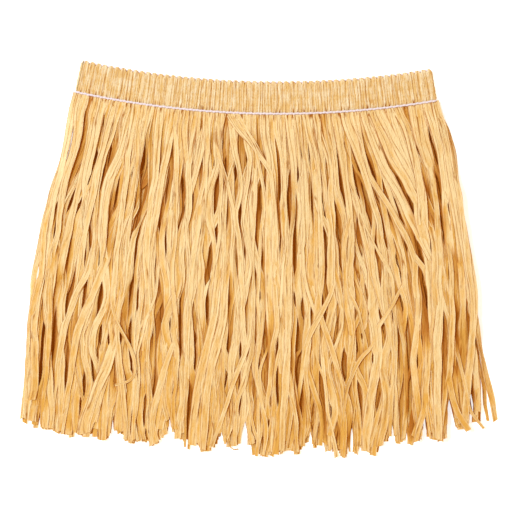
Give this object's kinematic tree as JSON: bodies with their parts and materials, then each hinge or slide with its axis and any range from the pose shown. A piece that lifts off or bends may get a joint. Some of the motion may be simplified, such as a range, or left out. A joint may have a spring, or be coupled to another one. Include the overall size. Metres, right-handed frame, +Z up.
{
  "type": "grass skirt",
  "caption": "Grass skirt of long raffia strands sewn under a gathered elastic waistband, laid flat with its front up.",
  "frame": {"origin": "on the surface that the skirt lies on, under the middle of its outline", "axes": "+Z up off the surface, out of the skirt's front; +Y from the hem towards the waist; +X to the right seen from above, along the skirt's width"},
  "size_m": [0.5125, 0.427, 0.0145],
  "materials": {
    "band_raffia": "pleated crepe paper raffia, dry and matt with a faint sheen",
    "fringe_raffia": "crinkled paper raffia ribbons, straw-yellow, dry and matt with a faint sheen",
    "elastic_cord": "pinkish white covered elastic thread, matt"
  },
  "bodies": {
    "root": {"waistband": "band_raffia", "seam_cord": "elastic_cord", "edge_cord": "elastic_cord", "front_outer_hank_01": "fringe_raffia", "front_outer_hank_02": "fringe_raffia", "front_outer_hank_03": "fringe_raffia", "front_outer_hank_04": "fringe_raffia", "front_outer_hank_05": "fringe_raffia", "front_outer_hank_06": "fringe_raffia", "front_outer_hank_07": "fringe_raffia", "front_outer_hank_08": "fringe_raffia", "front_outer_hank_09": "fringe_raffia", "front_outer_hank_10": "fringe_raffia", "front_outer_hank_11": "fringe_raffia", "front_outer_hank_12": "fringe_raffia", "front_outer_hank_13": "fringe_raffia", "front_outer_hank_14": "fringe_raffia", "front_outer_hank_15": "fringe_raffia", "front_inner_hank_01": "fringe_raffia", "front_inner_hank_02": "fringe_raffia", "front_inner_hank_03": "fringe_raffia", "front_inner_hank_04": "fringe_raffia", "front_inner_hank_05": "fringe_raffia", "front_inner_hank_06": "fringe_raffia", "front_inner_hank_07": "fringe_raffia", "front_inner_hank_08": "fringe_raffia", "front_inner_hank_09": "fringe_raffia", "front_inner_hank_10": "fringe_raffia", "back_inner_hank_01": "fringe_raffia", "back_inner_hank_02": "fringe_raffia", "back_inner_hank_03": "fringe_raffia", "back_inner_hank_04": "fringe_raffia", "back_inner_hank_05": "fringe_raffia", "back_inner_hank_06": "fringe_raffia", "back_inner_hank_07": "fringe_raffia", "back_inner_hank_08": "fringe_raffia", "back_inner_hank_09": "fringe_raffia", "back_inner_hank_10": "fringe_raffia", "back_outer_hank_01": "fringe_raffia", "back_outer_hank_02": "fringe_raffia", "back_outer_hank_03": "fringe_raffia", "back_outer_hank_04": "fringe_raffia", "back_outer_hank_05": "fringe_raffia", "back_outer_hank_06": "fringe_raffia", "back_outer_hank_07": "fringe_raffia", "back_outer_hank_08": "fringe_raffia", "back_outer_hank_09": "fringe_raffia", "back_outer_hank_10": "fringe_raffia", "back_outer_hank_11": "fringe_raffia", "back_outer_hank_12": "fringe_raffia", "back_outer_hank_13": "fringe_raffia", "back_outer_hank_14": "fringe_raffia", "back_outer_hank_15": "fringe_raffia"}
  },
  "joints": []
}
